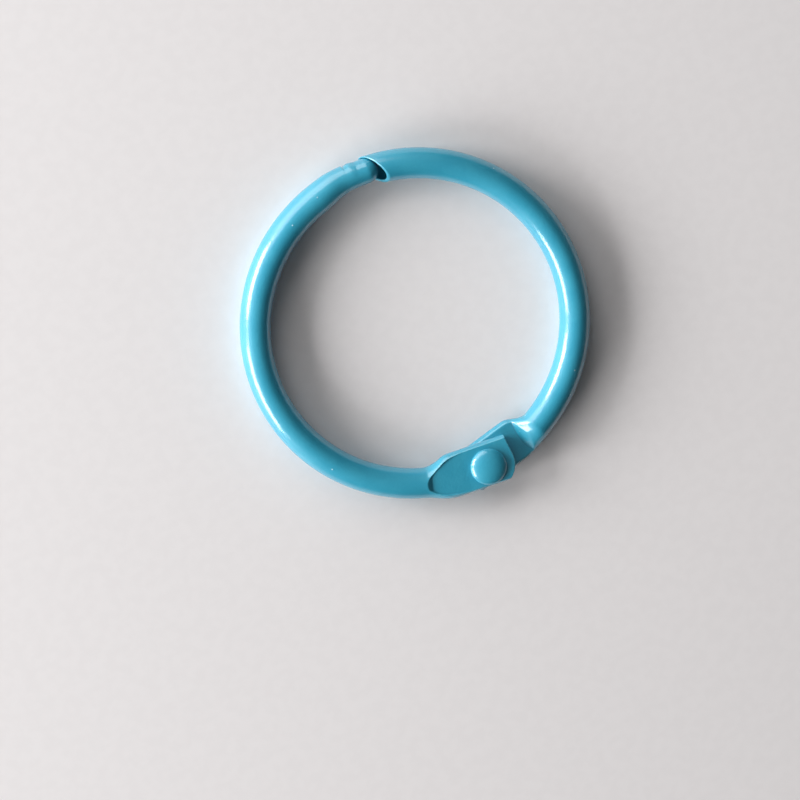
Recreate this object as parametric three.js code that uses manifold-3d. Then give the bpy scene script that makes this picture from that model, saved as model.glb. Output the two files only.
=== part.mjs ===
// Hinged book ring: two curved halves of rolled steel tube, each pinched flat at one end. A rivet through
// the two flat leaves is the hinge. At the other end a round-nosed tongue on one half shuts into the
// slanted open mouth of the other.
//
// Millimetres, +Z up. The ring lies flat, with its centre on the Z axis, z = 0 the surface that it lies
// on and the hinge on -Y. An azimuth is in degrees, counter-clockwise from +X as seen from above.

import * as THREE from 'three';
import { mergeVertices } from 'three/addons/utils/BufferGeometryUtils.js';
import Module from 'manifold-3d';

const wasm = await Module();
wasm.setup();

// ---- Driving dimensions --------------------------------------------------------------------------

const clearDiameter = 25.4; // inside the closed ring
const tubeDiameter = 2.7;
const sheet = 0.475; // thickness of the strip that the tubes are rolled from

const mouthAzimuth = 77.5; // where the two halves meet, opposite the hinge
const mouthSetBack = 0.4; // how far the mouth's cut crosses the tube's axis towards the tongue
const mouthSlantIn = 28; // slope of the cut across the ring's plane: the outer lip reaches furthest
const mouthSlantUp = 30; // slope of the cut from below to above: the lower lip reaches furthest
const socketDepth = 2.6; // opened-out bore behind the mouth

const mouthWall = 0.14; // the tube's wall round the socket, where its bore is opened out
const tongueOffset = 0.08; // the tongue's axis lies this far outwards of the tube's
const tongueLength = 2.85; // from the nose to the step
const tongueTaper = 3.0; // from the step back to the full tube, on the inner side
const tongueStepRun = 0.06; // length of the step itself, on the outer side
const noseReach = 0.1; // how far the nose passes the mouth's azimuth
const ventDiameter = 0.5; // hole that the swaged nose leaves at its tip

const leafLean = 9; // degrees between a leaf and the ring's tangent at the hinge
const bendLead = 2.6; // the bend to the leaf starts this many leans round the ring; 2 would be a corner
const leafWidth = 4.0;
const leafOffset = 0.2; // the leaf's middle lies this far inside the pivot
const leafEdgeBulge = 0.84; // half-height of the oval that a leaf's folded edges follow
const leafReach = 2.4; // from the pivot to the leaf's cut end, along the ring's tangent
const leafCorner = 2.2; // rounding of the leaf's outer corner
const rampFoot = 3.85; // from the pivot to the foot of the ramp on the mating side
const rampAngle = 48;
const stepFoot = 5.2; // from the pivot to the foot of the small step on the far side
const stepLength = 0.42;
const stepRise = 0.1; // by which the far face climbs from the leaf to the foot of the step
const riseStart = 2.0; // from the pivot: where that climb begins
const spreadStart = 5.8; // from the pivot: where the tube begins to widen
const spreadEnd = 3.1; // from the pivot: where the leaf has its full width

const shankDiameter = 1.7;
const headDiameter = 3.24;
const headHeight = 0.7;
const tailDiameter = 2.9;
const tailChamfer = 0.1;

// ---- Clearances ----------------------------------------------------------------------------------

const leafGap = 0.05; // between the two leaves
const socketClearance = 0.03; // between the tongue and the outer side of its socket
const shankClearance = 0.05; // around the rivet's shank
const headClearance = 0.03; // under the rivet's head and over its tail

// ---- Fineness ------------------------------------------------------------------------------------

const tubeSides = 24;
const boreSides = 16;
const turnedSides = 48;
const arcStep = 5; // degrees between stations round the ring
const pinchStep = 0.4; // between stations along the pinched end
const leastStep = 0.01; // stations nearer than this are one
const noseLatitudes = [12, 30, 50, 70, 90]; // degrees from the nose's tip
const domeSteps = 8;

// ---- Derived sizes -------------------------------------------------------------------------------

const tubeRadius = tubeDiameter / 2;
const boreRadius = tubeRadius - sheet;
const socketRadius = tubeRadius - mouthWall;
const tongueRadius = socketRadius - socketClearance - tongueOffset;
const ringRadius = clearDiameter / 2 + tubeRadius; // of the tube's axis
const arcLength = THREE.MathUtils.degToRad(arcStep) * ringRadius;
const leafThickness = 2 * sheet;
const leafNear = leafGap / 2; // a leaf's mating face, from the ring's middle plane
const leafFar = leafNear + leafThickness;
const rampTop = rampFoot + (tubeRadius + leafNear) / Math.tan(THREE.MathUtils.degToRad(rampAngle));
const stepTop = stepFoot + stepLength;
const pinchStart = Math.max(spreadStart, rampTop, stepTop); // from the pivot, as the others
const boreEnd = Math.max(rampTop, stepTop) + sheet; // the bore stops this far from the pivot
const leafOverrun = leafReach + leafWidth / 2; // the sweep runs past the leaf's end, which is cut later
const margin = 1; // by which a cutting solid passes what it cuts
const cutterSize = 4 * tubeDiameter; // of a block or plate that cuts a whole tube

// ---- Small helpers -------------------------------------------------------------------------------

const { degToRad, radToDeg, lerp, smoothstep, clamp } = THREE.MathUtils;

const onRing = (azimuth) =>
  new THREE.Vector2(Math.cos(degToRad(azimuth)), Math.sin(degToRad(azimuth))).multiplyScalar(ringRadius);

const pivot = onRing(-90);

/** How far x is from low to high, from 0 to 1. */
const share = (x, low, high) => clamp((x - low) / (high - low), 0, 1);

/** A three.js geometry as a solid that can be joined and cut. */
function solidOf(geometry) {
  const bare = geometry.clone();
  bare.deleteAttribute('normal');
  bare.deleteAttribute('uv');
  const merged = mergeVertices(bare, 1e-5);
  return new wasm.Manifold(
    new wasm.Mesh({
      numProp: 3,
      vertProperties: new Float32Array(merged.attributes.position.array),
      triVerts: new Uint32Array(merged.index.array),
    }),
  );
}

/** A solid as a named mesh with its own material. */
function meshOf(name, solid, material) {
  const { vertProperties, triVerts } = solid.getMesh();
  const geometry = new THREE.BufferGeometry();
  geometry.setAttribute('position', new THREE.BufferAttribute(vertProperties, 3));
  geometry.setIndex(new THREE.BufferAttribute(triVerts, 1));
  geometry.computeVertexNormals();
  const mesh = new THREE.Mesh(geometry, material);
  mesh.name = name;
  return mesh;
}

/** Glossy paint over steel. */
const enamel = (color) => new THREE.MeshStandardMaterial({ color, roughness: 0.22, metalness: 0 });

// ---- The path of a half --------------------------------------------------------------------------

/**
 * The axis of a half that lies on -X, from its free end at startAzimuth round the ring to the hinge: an
 * arc, a short bend, and a straight line that passes the pivot at leafLean to the ring's tangent. at(d)
 * is the point d before the pivot, measured along the path.
 */
function pathOfHalf(startAzimuth) {
  const bendStart = 270 - bendLead * leafLean;
  const leafDirection = new THREE.Vector2(Math.cos(degToRad(leafLean)), -Math.sin(degToRad(leafLean)));
  const start = onRing(bendStart);
  const tangent = new THREE.Vector2(-start.y, start.x).normalize();
  const corner = crossing(start, tangent, pivot, leafDirection);
  const bendReach = start.distanceTo(corner);
  const end = corner.clone().addScaledVector(leafDirection, bendReach);
  const last = pivot.clone().addScaledVector(leafDirection, leafOverrun);

  const path = new THREE.CurvePath();
  const arcEnd = degToRad(bendStart);
  path.add(new THREE.ArcCurve(0, 0, ringRadius, degToRad(startAzimuth), arcEnd, false));
  path.add(new THREE.QuadraticBezierCurve(start, corner, end));
  path.add(new THREE.LineCurve(end, last));
  const length = path.getLength();
  const beforePivot = length - leafOverrun;
  return {
    beforePivot,
    at: (d) => path.getPointAt(clamp((beforePivot - d) / length, 0, 1)),
    along: (d) => path.getTangentAt(clamp((beforePivot - d) / length, 0, 1)),
  };
}

/** Where two lines cross, each given by a point and a direction. */
function crossing(a, alongA, b, alongB) {
  const apart = b.clone().sub(a);
  return a.clone().addScaledVector(alongA, apart.cross(alongB) / alongA.cross(alongB));
}

/**
 * The distances from the pivot at which a sweep has its sections, from far to near: every one of keys,
 * and evenly between two of them that are further apart than step.
 */
function stationsThrough(keys, step) {
  const sorted = [...keys].sort((a, b) => b - a);
  const apart = sorted.filter((d, i) => i === 0 || sorted[i - 1] - d > leastStep);
  const runs = apart.slice(1).map((near, i) => {
    const count = Math.max(1, Math.round((apart[i] - near) / step));
    return Array.from({ length: count }, (_, k) => lerp(apart[i], near, (k + 1) / count));
  });
  return [apart[0], ...runs.flat()];
}

/**
 * A closed solid swept along a path. distances are the stations, from the free end to the leaf, and
 * section(d, angle) gives the outline there as [outwards from the ring's centre, height]. It is a
 * cylinder of one row for each station, bent along the path.
 */
function sweep(path, distances, sides, section) {
  const rows = distances.length - 1;
  const geometry = new THREE.CylinderGeometry(1, 1, rows, sides, rows);
  const position = geometry.attributes.position;
  for (let i = 0; i < position.count; i += 1) {
    const d = distances[Math.round(position.getY(i) + rows / 2)];
    const axis = path.at(d);
    const along = path.along(d);
    const isCapCentre = Math.hypot(position.getX(i), position.getZ(i)) < leastStep;
    const angle = Math.atan2(position.getZ(i), position.getX(i));
    const [out, height] = isCapCentre ? middleOf(section, d) : section(d, angle);
    position.setXYZ(i, axis.x + out * along.y, axis.y - out * along.x, height);
  }
  return solidOf(geometry);
}

/** The middle of a section, where a sweep's end cap has its centre. */
function middleOf(section, d) {
  const corners = [0, 1, 2, 3].map((quarter) => section(d, (quarter * Math.PI) / 2));
  return [0, 1].map((i) => corners.reduce((sum, corner) => sum + corner[i], 0) / corners.length);
}

// ---- The pinched tube ----------------------------------------------------------------------------

/**
 * The outside of a half at d before the pivot, at its plain tube and at its hinge: an oval that widens
 * from the round tube to the leaf, pressed between a far face and a mating face.
 */
function pinched(d, angle) {
  const spread = 1 - smoothstep(d, spreadEnd, spreadStart);
  const sink = 1 - smoothstep(d, rampFoot, stepTop);
  const sloped = leafFar + stepRise * share(d, riseStart, stepFoot);
  const far = lerp(sloped, tubeRadius, share(d, stepFoot, stepTop));
  const mating = lerp(leafNear, -tubeRadius, share(d, rampFoot, rampTop));
  const middle = lerp(0, (leafNear + leafFar) / 2, sink);
  const halfHeight = lerp(tubeRadius, leafEdgeBulge, sink);
  const halfWidth = lerp(tubeRadius, leafWidth / 2, spread);
  const height = clamp(middle + halfHeight * Math.sin(angle), mating, far);
  return [halfWidth * Math.cos(angle) - leafOffset * spread, height];
}

/** The stations that the pinched end needs, from the plain tube to past the leaf's end. */
const pinchStations = [
  ...stationsThrough([pinchStart, spreadStart, stepTop, rampTop, stepFoot, rampFoot, riseStart], pinchStep),
  -leafOverrun,
];

/** A straight-sided solid that keeps a half as far as its leaf's end: cut square, outer corner round. */
function leafTrim() {
  const wide = 2 * ringRadius;
  const outer = pivot.y - leafWidth; // well outside the leaf
  const lean = degToRad(leafLean);
  const outerWidth = leafWidth / 2 - leafOffset;
  const sideAtEnd = pivot.y - outerWidth / Math.cos(lean) - leafReach * Math.tan(lean);
  const cornerY = sideAtEnd + leafCorner;
  const outline = new THREE.Shape();
  outline.moveTo(-wide, outer);
  outline.lineTo(leafReach - leafCorner, outer);
  outline.lineTo(leafReach - leafCorner, cornerY - leafCorner);
  outline.absarc(leafReach - leafCorner, cornerY, leafCorner, -Math.PI / 2, 0, false);
  outline.lineTo(leafReach, pivot.y + leafWidth);
  outline.lineTo(2 * wide, pivot.y + leafWidth);
  outline.lineTo(2 * wide, wide);
  outline.lineTo(-wide, wide);
  const plate = { depth: cutterSize, bevelEnabled: false, curveSegments: domeSteps };
  const geometry = new THREE.ExtrudeGeometry(outline, plate);
  geometry.translate(0, 0, -cutterSize / 2);
  return solidOf(geometry);
}

/** An upright round bar on the hinge's axis. */
function hingeBar(radius, low, high) {
  const geometry = new THREE.CylinderGeometry(radius, radius, high - low, turnedSides);
  geometry.rotateX(Math.PI / 2);
  geometry.translate(pivot.x, pivot.y, (low + high) / 2);
  return solidOf(geometry);
}

/** What every half has: the leaf's end trimmed, and the rivet's hole through it. */
function finishLeaf(half) {
  const hole = hingeBar(shankDiameter / 2 + shankClearance, leafNear - margin, leafFar + margin);
  return half.intersect(leafTrim()).subtract(hole);
}

// ---- Tongue half ---------------------------------------------------------------------------------

/** The half whose leaf is on top and whose free end is the tongue. */
function tongueHalf() {
  const noseAzimuth = mouthAzimuth - radToDeg(noseReach / ringRadius);
  const path = pathOfHalf(noseAzimuth);
  const nose = path.beforePivot;
  const stepAt = nose - tongueLength;
  const taperEnd = stepAt - tongueTaper;

  const outside = (d, angle) => {
    const fromNose = nose - d;
    const round = Math.sqrt(Math.max(0, 1 - (1 - share(fromNose, 0, tongueRadius)) ** 2));
    const stepped = share(d, stepAt - tongueStepRun, stepAt);
    const tapered = smoothstep(d, taperEnd, stepAt);
    const outer = lerp(tubeRadius, tongueRadius, stepped);
    const inner = lerp(tubeRadius, tongueRadius, tapered);
    const taper = lerp(inner, outer, (1 + Math.cos(angle)) / 2) / tubeRadius;
    const [out, height] = pinched(d, angle);
    return [out * taper * round + tongueOffset * tapered, height * taper * round];
  };

  const fromTip = (latitude) => tongueRadius * (1 - Math.cos(degToRad(latitude)));
  const noseStations = noseLatitudes.map((latitude) => nose - fromTip(latitude));
  const stations = [
    ...noseStations,
    ...stationsThrough([stepAt, stepAt - tongueStepRun, taperEnd], arcLength / 2),
    ...stationsThrough([taperEnd, pinchStart], arcLength).slice(1),
    ...pinchStations.slice(1),
  ];
  const boreStations = stationsThrough([nose - tongueRadius, boreEnd], arcLength);
  const bore = sweep(path, boreStations, boreSides, roundSection(boreRadius));
  const ventStations = [nose, nose - tongueRadius - sheet];
  const vent = sweep(path, ventStations, boreSides, roundSection(ventDiameter / 2));
  return finishLeaf(sweep(path, stations, tubeSides, outside)).subtract(bore).subtract(vent);
}

/** A round outline of one size. */
const roundSection = (radius) => (_, angle) => [radius * Math.cos(angle), radius * Math.sin(angle)];

// ---- Socket half ---------------------------------------------------------------------------------

/**
 * The half whose leaf is underneath and whose free end is the open mouth. It is made as the other half
 * lies, on -X with its leaf up, and turned over about Y when it is placed.
 */
function socketHalf() {
  const overrun = tubeDiameter; // the sweep starts this far before the mouth, which is cut later
  const startAzimuth = 180 - mouthAzimuth - radToDeg(overrun / ringRadius);
  const path = pathOfHalf(startAzimuth);
  const start = path.beforePivot;
  const mouth = start - overrun;
  const stations = [...stationsThrough([start, pinchStart], arcLength), ...pinchStations.slice(1)];
  const outside = sweep(path, stations, tubeSides, pinched);

  const socketEnd = mouth - socketDepth;
  const socketStations = stationsThrough([start, socketEnd], arcLength / 2);
  const socket = sweep(path, socketStations, tubeSides, roundSection(socketRadius));
  const boreStations = stationsThrough([socketEnd + sheet, boreEnd], arcLength);
  const bore = sweep(path, boreStations, boreSides, roundSection(boreRadius));
  return finishLeaf(outside).subtract(socket).subtract(bore).subtract(mouthCutter(path, mouth));
}

/** A block whose one face is the mouth's slanted cut, on the tongue's side of it. */
function mouthCutter(path, mouth) {
  const centre = path.at(mouth + mouthSetBack);
  const along = path.along(mouth);
  const into = new THREE.Vector3(along.x, along.y, 0);
  const inward = new THREE.Vector3(-along.y, along.x, 0);
  const down = new THREE.Vector3(0, 0, 1); // the half is turned over when it is placed
  const away = into
    .negate()
    .addScaledVector(inward, Math.tan(degToRad(mouthSlantIn)))
    .addScaledVector(down, -Math.tan(degToRad(mouthSlantUp)))
    .normalize();
  const geometry = new THREE.BoxGeometry(cutterSize, cutterSize, cutterSize);
  geometry.translate(0, 0, cutterSize / 2);
  geometry.applyQuaternion(new THREE.Quaternion().setFromUnitVectors(new THREE.Vector3(0, 0, 1), away));
  geometry.translate(centre.x, centre.y, 0);
  return solidOf(geometry);
}

// ---- Hinge rivet ---------------------------------------------------------------------------------

/** Domed head on the upper leaf, shank through both leaves, and the tail formed flat under the lower. */
function hingeRivet() {
  const headBase = leafFar + headClearance;
  const tailTop = -leafFar - headClearance;
  const shank = shankDiameter / 2;
  const head = headDiameter / 2;
  const tail = tailDiameter / 2;
  const dome = Array.from({ length: domeSteps }, (_, i) => {
    const rise = (i / domeSteps) * (Math.PI / 2);
    return new THREE.Vector2(head * Math.cos(rise), headBase + headHeight * Math.sin(rise));
  });
  const profile = [
    new THREE.Vector2(0, -tubeRadius),
    new THREE.Vector2(tail - tailChamfer, -tubeRadius),
    new THREE.Vector2(tail, -tubeRadius + tailChamfer),
    new THREE.Vector2(tail, tailTop),
    new THREE.Vector2(shank, tailTop),
    new THREE.Vector2(shank, headBase),
    ...dome,
    new THREE.Vector2(0, headBase + headHeight),
  ];
  const geometry = new THREE.LatheGeometry(profile, turnedSides);
  geometry.rotateX(Math.PI / 2);
  return solidOf(geometry);
}

// ---- Assembly ------------------------------------------------------------------------------------

const tongue = meshOf('tongue_half', tongueHalf(), enamel(0x3fa9cb));

const socket = meshOf('socket_half', socketHalf(), enamel(0x3ba4c8));
socket.rotation.y = Math.PI;

const rivet = meshOf('hinge_rivet', hingeRivet(), enamel(0x46aecf));
rivet.position.set(pivot.x, pivot.y, 0);

const ring = new THREE.Group();
ring.add(tongue, socket, rivet);
ring.position.z = tubeRadius; // the tubes' lowest lines touch z = 0

export default ring;
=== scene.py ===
"""The looks of a hinged book ring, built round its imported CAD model.

Two halves of rolled steel tube, each pinched flat at the hinge, one domed rivet, and sky-blue enamel over
all of them. Lengths are in millimetres, in the part's own frame: the ring lies flat with its centre on the
Z axis, z = 0 is the surface that it lies on, and the hinge is on -Y. A mesh is turned into metres as it is
made. Distances along a half are measured from the hinge pivot back towards its free end.
"""

import logging
from dataclasses import dataclass, field
from enum import Enum

import bpy
import numpy as np
from mathutils import Matrix


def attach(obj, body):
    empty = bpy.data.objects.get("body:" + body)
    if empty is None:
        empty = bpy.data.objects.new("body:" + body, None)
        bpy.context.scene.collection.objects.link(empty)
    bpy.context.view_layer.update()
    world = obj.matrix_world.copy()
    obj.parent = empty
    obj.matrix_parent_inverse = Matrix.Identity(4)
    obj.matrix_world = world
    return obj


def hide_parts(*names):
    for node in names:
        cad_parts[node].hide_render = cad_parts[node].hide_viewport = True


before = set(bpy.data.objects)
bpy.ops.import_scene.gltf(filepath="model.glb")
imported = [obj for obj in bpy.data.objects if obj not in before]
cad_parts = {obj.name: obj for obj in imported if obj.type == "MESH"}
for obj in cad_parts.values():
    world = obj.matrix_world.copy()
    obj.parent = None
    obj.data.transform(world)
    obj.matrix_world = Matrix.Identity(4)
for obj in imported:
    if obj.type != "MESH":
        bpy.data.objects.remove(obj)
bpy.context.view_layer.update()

log = logging.getLogger("book_ring")

Array = np.ndarray
Colour = tuple[float, float, float, float]
Span = tuple[float, float]

METRES = 0.001  # one millimetre

# Bends are one over a radius, per millimetre.
EDGE_HIGHLIGHT_BENDS = (2.5, 9.0)  # the painted highlight on a convex edge goes from none to full between these
HOLLOW_SHADE_BENDS = (1.0, 6.0)  # and the painted shade in a hollow goes from none to full between these
BEND_SMOOTHINGS = 2  # how often a bend is averaged with its neighbours
NO_LENGTH = 1e-12  # stands in for a normal's length where there is none
LEAST_SPACING = 1e-4  # stands in for the spacing of points that fall together
SHARP_ANGLE = 55.0  # degrees between two faces above which their edge is shaded sharp

HINGE_AZIMUTH = 270.0  # degrees round the ring from +X
ARC_START = 55.0  # the azimuth past both free ends at which a half's axis begins
ARC_POINTS, BEND_POINTS, LINE_POINTS = 4700, 500, 1200  # points in the three stretches of that axis


# ---- Curves ----------------------------------------------------------------------------------------


def share(x: Array, low: float, high: float) -> Array:
    """How far x has gone from low to high, kept between 0 and 1."""
    return np.clip((x - low) / (high - low), 0.0, 1.0)


def smooth_share(x: Array, low: float, high: float) -> Array:
    """The share t of the way from low to high, eased at both ends: 3 t^2 - 2 t^3."""
    t = share(x, low, high)
    return t * t * (3.0 - 2.0 * t)


def lerp(a: Array, b: Array, t: Array) -> Array:
    """The value a share t of the way from a to b."""
    return a + (b - a) * t


def soft_least(a: Array, b: Array, softness: Array) -> Array:
    """The lesser of two heights, with the crease between them rounded off.

    It is min(a, b) less h^2 s / 4, where s is the softness and h = max(s - |a - b|, 0) / s.

    Args:
        a: One height.
        b: The other height.
        softness: The difference of heights at which the rounding starts.

    Returns:
        The rounded lesser height.
    """
    near = np.maximum(softness - np.abs(a - b), 0.0) / softness
    return np.minimum(a, b) - near * near * softness / 4.0


def soft_most(a: Array, b: Array, softness: Array) -> Array:
    """The greater of two heights, rounded off as soft_least rounds the lesser."""
    return -soft_least(-a, -b, softness)


def column(values: Array) -> Array:
    """Values as a column, one for each row of a skin."""
    return np.asarray(values, float).reshape(-1, 1)


# ---- Skins -----------------------------------------------------------------------------------------


class FirstRow(Enum):
    """How the first row of a skin is closed."""

    POLE = "a fan to one point"
    FOLD = "its two sides, level with each other, joined along a line"


@dataclass
class Skin:
    """A closed skin: rows of points, each row once round the piece, with a pole after the last row.

    Attributes:
        points: The points, rows by columns by three, in millimetres.
        film: How much enamel each point has, from 0, bare steel, to 1.
        first: How the first row is closed.
    """

    points: Array
    film: Array
    first: FirstRow

    def numbering(self) -> Array:
        """The number of each point, where the two sides of a folded first row share theirs."""
        rows, columns = self.film.shape
        numbers = np.arange(rows * columns).reshape(rows, columns)
        if self.first is FirstRow.FOLD:
            across = np.arange(columns)
            numbers[0] = np.minimum(across, (columns - across) % columns)
        return numbers

    def quads(self) -> Array:
        """The four-sided faces between each row and the next, as rows by columns by four."""
        numbers = self.numbering()
        beside = np.roll(numbers, -1, axis=1)
        return np.stack([numbers[:-1], beside[:-1], beside[1:], numbers[1:]], axis=-1)

    def bends(self) -> tuple[Array, Array]:
        """How sharply the skin is bent, for the painted highlight on a convex edge and the painted shade in a
        hollow.

        The bend is the second difference of the points along the rows and along the columns, each over its
        own spacing squared and taken along the outward normal, which is the cross product of the first
        differences. It is minus one over the radius where the skin is convex.

        Returns:
            The painted highlight on edges and the painted shade in hollows, each from 0 to 1.
        """
        p = self.points
        above = np.concatenate([p[:1], p[:-1]])
        below = np.concatenate([p[1:], p[-1:]])
        left, right = np.roll(p, 1, axis=1), np.roll(p, -1, axis=1)
        normal = np.cross(right - left, below - above)
        normal /= np.maximum(np.linalg.norm(normal, axis=-1, keepdims=True), NO_LENGTH)

        def bend(before: Array, after: Array) -> Array:
            """The bend at p between two neighbours, a and b from it: 2 (a / |a| + b / |b|) / (|a| + |b|)."""
            a, b = before - p, after - p
            la = np.maximum(np.linalg.norm(a, axis=-1), LEAST_SPACING)
            lb = np.maximum(np.linalg.norm(b, axis=-1), LEAST_SPACING)
            pull = a / la[..., None] + b / lb[..., None]
            return 2.0 * (pull * normal).sum(axis=-1) / (la + lb)

        total = bend(above, below) + bend(left, right)
        total[0], total[-1] = total[1], total[-2]
        if outward_sign(p, self.quads()) < 0.0:
            total = -total
        for _ in range(BEND_SMOOTHINGS):
            total = (total + np.roll(total, 1, axis=1) + np.roll(total, -1, axis=1)) / 3.0
        # the first share is a painted highlight on convex edges, the second a painted shade in hollows
        return smooth_share(-total, *EDGE_HIGHLIGHT_BENDS), smooth_share(total, *HOLLOW_SHADE_BENDS)


def outward_sign(points: Array, quads: Array) -> float:
    """Whether a closed skin's faces are turned outwards.

    It is the sign of the volume, which is the sum of a . (b x c) over the faces' triangles.

    Args:
        points: The skin's points, rows by columns by three.
        quads: The faces, with a last axis of four.

    Returns:
        1 if they are turned outwards, and -1 if inwards.
    """
    flat = points.reshape(-1, 3)
    corners = flat[quads.reshape(-1, 4)]
    a, b, c, d = (corners[:, k] for k in range(4))
    volume = (a * np.cross(b, c)).sum() + (a * np.cross(c, d)).sum()
    return 1.0 if volume > 0.0 else -1.0


@dataclass(frozen=True)
class RoundHole:
    """A round hole straight through a leaf, whose upper and lower faces have matching points.

    Attributes:
        x: Its axis, across.
        y: Its axis, along.
        radius: Its radius.
        last_row: The skin's rows beyond this one are left alone.
    """

    x: float
    y: float
    radius: float
    last_row: int

    def punch(self, points: Array, quads: Array) -> tuple[Array, Array, Array]:
        """Takes out the faces inside the hole, draws the ring of points at its edge on to the circle, and
        adds the wall: a face from each edge of the opening to the same edge on the other side of the leaf.

        Args:
            points: The skin's points, rows by columns by three. The ones at the edge are moved.
            quads: The skin's faces, rows by columns by four.

        Returns:
            The points, the faces that are left, and the faces of the wall, the last two as lists of four.
        """
        rows, columns = points.shape[:2]
        flat = points.reshape(-1, 3)
        centres = flat[quads][..., :2].mean(axis=2) - np.array([self.x, self.y])
        inside = np.linalg.norm(centres, axis=-1) < self.radius
        inside[self.last_row :] = False
        upper = inside.copy()
        upper[:, columns // 2 :] = False
        taken = quads[upper]
        start = taken.reshape(-1)
        end = np.roll(taken, -1, axis=1).reshape(-1)
        size = rows * columns
        rim = ~np.isin(start * size + end, end * size + start)
        start, end = start[rim], end[rim]

        def across(number: Array) -> Array:
            """The point on the other face of the leaf at the same place."""
            row, col = np.divmod(number, columns)
            return row * columns + (columns - col) % columns

        edge = np.unique(np.concatenate([start, across(start)]))
        arm = flat[edge, :2] - np.array([self.x, self.y])
        arm *= self.radius / np.linalg.norm(arm, axis=1, keepdims=True)
        flat[edge, :2] = arm + np.array([self.x, self.y])
        wall = np.stack([start, end, across(end), across(start)], axis=-1)
        return flat.reshape(points.shape), quads[~inside], wall


def new_object(name: str, data: bpy.types.ID) -> bpy.types.Object:
    """Makes an object of a mesh, a light or a camera and puts it into the scene, at the origin."""
    obj = bpy.data.objects.new(name, data)
    bpy.context.scene.collection.objects.link(obj)
    return obj


def skin_mesh(name: str, skin: Skin, hole: RoundHole | None = None) -> bpy.types.Object:
    """Makes a mesh object from a skin, in metres, with the attributes that its enamel reads.

    Args:
        name: The object's name.
        skin: The skin.
        hole: A round hole to cut through it, if it has one.

    Returns:
        The new object, at the origin.
    """
    # shares for a painted highlight on convex edges and a painted shade in hollows
    edge_highlight, hollow_shade = skin.bends()
    grid, quads = skin.points.copy(), skin.quads()
    sign = outward_sign(grid, quads)
    rows, columns = skin.film.shape
    wall = np.zeros((0, 4), int)
    if hole is None:
        quads = quads.reshape(-1, 4)
    else:
        grid, quads, wall = hole.punch(grid, quads)
    numbers = skin.numbering()
    pole = rows * columns
    points = [grid.reshape(-1, 3), grid[-1].mean(axis=0)[None]]
    fans = [np.stack([numbers[-1], np.roll(numbers[-1], -1), np.full(columns, pole)], axis=-1)]
    if skin.first is FirstRow.POLE:
        points.append(grid[0].mean(axis=0)[None])
        fans.append(np.stack([np.roll(numbers[0], -1), numbers[0], np.full(columns, pole + 1)], axis=-1))
    ends = len(points) - 1
    co = np.concatenate(points)
    quads, tris = np.concatenate([quads, wall]), np.concatenate(fans)
    if sign < 0.0:
        quads, tris = quads[:, ::-1], tris[:, ::-1]
    used, packed = np.unique(np.concatenate([quads.reshape(-1), tris.reshape(-1)]), return_inverse=True)
    starts = np.concatenate([np.arange(len(quads)) * 4, len(quads) * 4 + np.arange(len(tris)) * 3])

    mesh = bpy.data.meshes.new(name)
    mesh.vertices.add(len(used))
    mesh.vertices.foreach_set("co", (co[used] * METRES).astype(np.float32).reshape(-1))
    mesh.loops.add(len(packed))
    mesh.loops.foreach_set("vertex_index", packed.astype(np.int32))
    mesh.polygons.add(len(starts))
    mesh.polygons.foreach_set("loop_start", starts.astype(np.int32))
    mesh.update(calc_edges=True)
    mesh.polygons.foreach_set("use_smooth", np.ones(len(starts), bool))
    mesh.set_sharp_from_angle(angle=np.radians(SHARP_ANGLE))
    for label, values in (("film", skin.film), ("edge_highlight", edge_highlight), ("hollow_shade", hollow_shade)):
        padded = np.concatenate([values.reshape(-1), np.full(ends, values[-1].mean())])[used]
        mesh.attributes.new(label, "FLOAT", "POINT").data.foreach_set("value", padded.astype(np.float32))
    mesh.validate()
    return new_object(name, mesh)


# ---- Finishes --------------------------------------------------------------------------------------


@dataclass
class NodeBoard:
    """A material's node tree, with short ways to add and join nodes.

    Attributes:
        tree: The node tree.
    """

    tree: bpy.types.NodeTree

    def join(self, socket: bpy.types.NodeSocket, value: object) -> None:
        """Joins an input to another node's socket, or sets it to a plain value."""
        if isinstance(value, bpy.types.NodeSocket):
            self.tree.links.new(value, socket)
        else:
            socket.default_value = value

    def feed(self, node: bpy.types.Node, **inputs: object) -> None:
        """Feeds a node.

        Args:
            node: The node.
            inputs: Its inputs by name, with underscores for spaces, each a value or a socket to join.
        """
        for label, value in inputs.items():
            self.join(node.inputs[label.replace("_", " ")], value)

    def add(self, kind: str, settings: dict | None = None, **inputs: object) -> bpy.types.Node:
        """Adds a node.

        Args:
            kind: The node's type, without its ShaderNode prefix.
            settings: Its properties by name.
            inputs: Its inputs, as feed takes them.

        Returns:
            The new node.
        """
        node = self.tree.nodes.new("ShaderNode" + kind)
        for label, value in (settings or {}).items():
            setattr(node, label, value)
        self.feed(node, **inputs)
        return node

    def math(self, operation: str, *values: object) -> bpy.types.NodeSocket:
        """The result of a Math node on up to three values or sockets."""
        node = self.add("Math", {"operation": operation})
        for socket, value in zip(node.inputs, values):
            self.join(socket, value)
        return node.outputs[0]

    def blend(self, factor: object, a: object, b: object) -> bpy.types.NodeSocket:
        """A colour a share of the way from a to b."""
        node = self.add("Mix", {"data_type": "RGBA"})
        for place, value in ((0, factor), (6, a), (7, b)):  # the factor and the two colours
            self.join(node.inputs[place], value)
        return node.outputs[2]

    def span(self, value: object, low: float, high: float, a: float, b: float) -> bpy.types.NodeSocket:
        """A value eased from a to b while the input goes from low to high."""
        settings = {"interpolation_type": "SMOOTHSTEP"}
        node = self.add("MapRange", settings, Value=value, From_Min=low, From_Max=high, To_Min=a, To_Max=b)
        return node.outputs[0]

    def part(self, label: str) -> bpy.types.Node:
        """A mesh attribute by name."""
        return self.add("Attribute", {"attribute_name": label, "attribute_type": "GEOMETRY"})


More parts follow.
